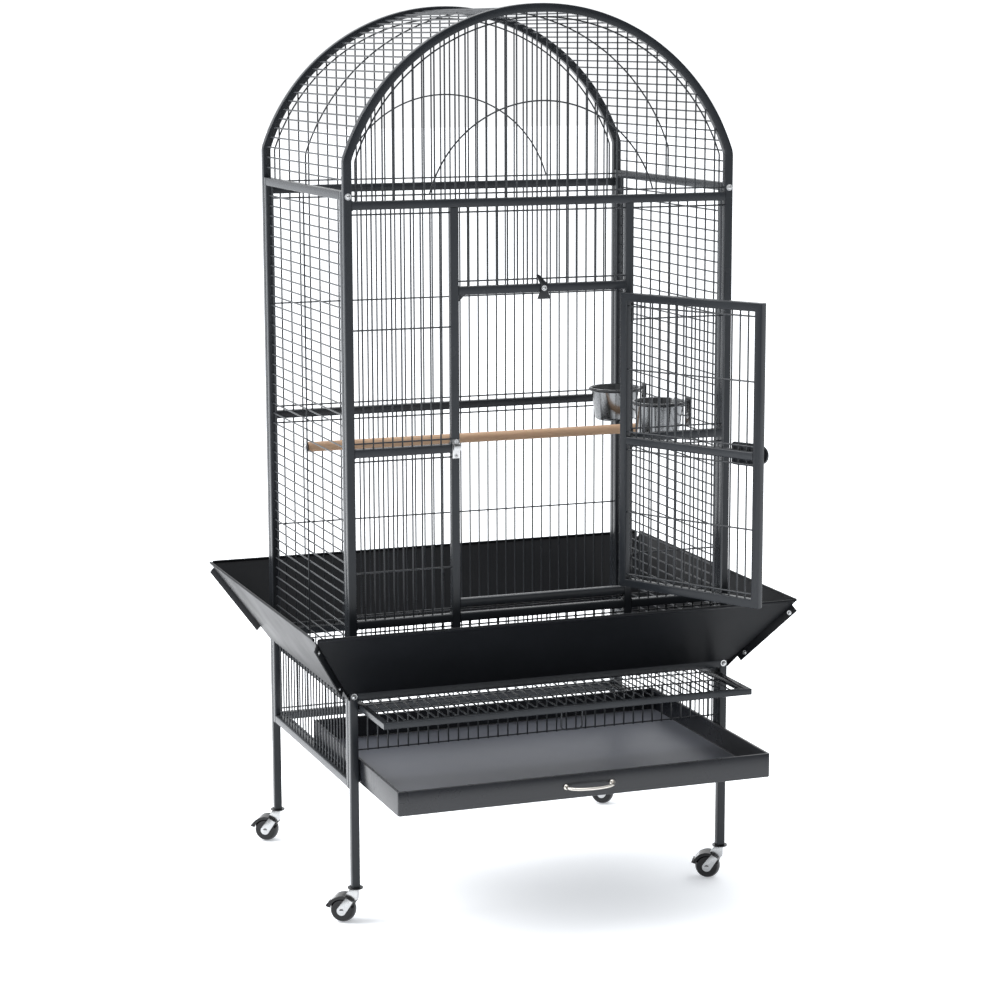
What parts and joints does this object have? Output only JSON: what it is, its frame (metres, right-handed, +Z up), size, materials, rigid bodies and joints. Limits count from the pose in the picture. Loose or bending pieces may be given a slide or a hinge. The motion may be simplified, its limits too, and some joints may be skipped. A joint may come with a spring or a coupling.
{
  "type": "bird cage on stand",
  "caption": "Tall bird cage with a domed wire roof, hinged front door, flared seed skirt, slide-out grille and tray, on a wheeled stand.",
  "frame": {"origin": "on the floor, under the middle of the whole outline", "axes": "+Z up, the doorway faces -Y, +X to the right as seen from the front"},
  "size_m": [0.9598, 0.9562, 1.689],
  "materials": {
    "dark_coated_steel": "satin dark grey powder coat",
    "coated_wire": "satin dark grey powder coat on wire",
    "coated_sheet": "satin near-black powder coat on sheet",
    "zinc_plate": "bright zinc plate",
    "stainless_steel": "polished stainless steel",
    "satin_nickel": "satin nickel",
    "black_plastic": "semi-gloss moulded plastic",
    "perch_wood": "plain turned wood"
  },
  "bodies": {
    "cage": {"front_frame": "dark_coated_steel", "rear_frame": "dark_coated_steel", "left_side_frame": "dark_coated_steel", "right_side_frame": "dark_coated_steel", "front_left_lower_wires": "coated_wire", "front_left_upper_wires": "coated_wire", "front_left_base_wires": "coated_wire", "front_right_lower_wires": "coated_wire", "front_right_upper_wires": "coated_wire", "front_right_base_wires": "coated_wire", "front_middle_base_wires": "coated_wire", "header_wires": "coated_wire", "curtain_wires": "coated_wire", "rear_base_wires": "coated_wire", "rear_lower_wires": "coated_wire", "rear_upper_wires": "coated_wire", "left_cage_wires": "coated_wire", "left_base_wires": "coated_wire", "left_centre_wire": "coated_wire", "right_cage_wires": "coated_wire", "right_base_wires": "coated_wire", "right_centre_wire": "coated_wire", "front_arch_wires": "coated_wire", "front_decor_arc": "coated_wire", "rear_arch_wires": "coated_wire", "rear_decor_arc": "coated_wire", "roof_wires": "coated_wire", "hinge_lower_post_leaf": "dark_coated_steel", "hinge_middle_post_leaf": "dark_coated_steel", "hinge_upper_post_leaf": "dark_coated_steel", "latch_keeper": "zinc_plate", "front_skirt": "coated_sheet", "rear_skirt": "coated_sheet", "left_skirt": "coated_sheet", "right_skirt": "coated_sheet", "perch": "perch_wood", "front_cup_holder": "dark_coated_steel", "rear_cup_holder": "dark_coated_steel"},
    "door": {"door_frame": "dark_coated_steel", "door_upper_wires": "coated_wire", "door_lower_wires": "coated_wire", "hinge_lower_door_leaf": "dark_coated_steel", "hinge_middle_door_leaf": "dark_coated_steel", "hinge_upper_door_leaf": "dark_coated_steel"},
    "door_latch": {"door_latch": "dark_coated_steel"},
    "header_catch": {"header_catch": "dark_coated_steel"},
    "grille": {"grille_frame": "dark_coated_steel", "grille_wires": "coated_wire"},
    "tray": {"tray": "coated_sheet", "tray_handle": "satin_nickel"},
    "front_cup": {"front_cup": "stainless_steel"},
    "rear_cup": {"rear_cup": "stainless_steel"},
    "caster_front_left_fork": {"caster_front_left_fork": "black_plastic"},
    "caster_front_left_ball": {"caster_front_left_ball": "black_plastic"},
    "caster_front_right_fork": {"caster_front_right_fork": "black_plastic"},
    "caster_front_right_ball": {"caster_front_right_ball": "black_plastic"},
    "caster_rear_left_fork": {"caster_rear_left_fork": "black_plastic"},
    "caster_rear_left_ball": {"caster_rear_left_ball": "black_plastic"},
    "caster_rear_right_fork": {"caster_rear_right_fork": "black_plastic"},
    "caster_rear_right_ball": {"caster_rear_right_ball": "black_plastic"}
  },
  "joints": [
    {"name": "door_hinge", "type": "hinge", "parent": "cage", "child": "door", "pos_m": [0.162, -0.18758, 0], "axis": [0, 0, 1], "range_deg": [-119, 61]},
    {"name": "latch_turn", "type": "hinge", "parent": "door", "child": "door_latch", "pos_m": [0.30703, -0.45705, 0.8848], "axis": [-0.8746, -0.4848, 0], "range_deg": [0, 90]},
    {"name": "catch_turn", "type": "hinge", "parent": "cage", "child": "header_catch", "pos_m": [0, -0.18378, 1.1738], "axis": [0, 1, 0], "range_deg": [-90, 90]},
    {"name": "grille_slide", "type": "slide", "parent": "cage", "child": "grille", "axis": [0, -1, 0], "range_m": [-0.142, 0.3]},
    {"name": "tray_slide", "type": "slide", "parent": "cage", "child": "tray", "axis": [0, -1, 0], "range_m": [-0.224, 0.2]},
    {"name": "front_cup_lift", "type": "slide", "parent": "cage", "child": "front_cup", "axis": [0, 0, 1], "range_m": [0, 0.08]},
    {"name": "rear_cup_lift", "type": "slide", "parent": "cage", "child": "rear_cup", "axis": [0, 0, 1], "range_m": [0, 0.08]},
    {"name": "caster_front_left_swivel", "type": "hinge", "parent": "cage", "child": "caster_front_left_fork", "pos_m": [-0.37325, -0.17603, 0.06], "axis": [0, 0, 1], "continuous": true},
    {"name": "caster_front_left_roll", "type": "hinge", "parent": "caster_front_left_fork", "child": "caster_front_left_ball", "pos_m": [-0.39322, -0.16403, 0.0245], "axis": [-0.515, -0.8572, 0], "continuous": true},
    {"name": "caster_front_right_swivel", "type": "hinge", "parent": "cage", "child": "caster_front_right_fork", "pos_m": [0.37325, -0.17603, 0.06], "axis": [0, 0, 1], "continuous": true},
    {"name": "caster_front_right_roll", "type": "hinge", "parent": "caster_front_right_fork", "child": "caster_front_right_ball", "pos_m": [0.35328, -0.16403, 0.0245], "axis": [-0.515, -0.8572, 0], "continuous": true},
    {"name": "caster_rear_left_swivel", "type": "hinge", "parent": "cage", "child": "caster_rear_left_fork", "pos_m": [-0.37325, 0.36447, 0.06], "axis": [0, 0, 1], "continuous": true},
    {"name": "caster_rear_left_roll", "type": "hinge", "parent": "caster_rear_left_fork", "child": "caster_rear_left_ball", "pos_m": [-0.39322, 0.37647, 0.0245], "axis": [-0.515, -0.8572, 0], "continuous": true},
    {"name": "caster_rear_right_swivel", "type": "hinge", "parent": "cage", "child": "caster_rear_right_fork", "pos_m": [0.37325, 0.36447, 0.06], "axis": [0, 0, 1], "continuous": true},
    {"name": "caster_rear_right_roll", "type": "hinge", "parent": "caster_rear_right_fork", "child": "caster_rear_right_ball", "pos_m": [0.35328, 0.37647, 0.0245], "axis": [-0.515, -0.8572, 0], "continuous": true}
  ]
}
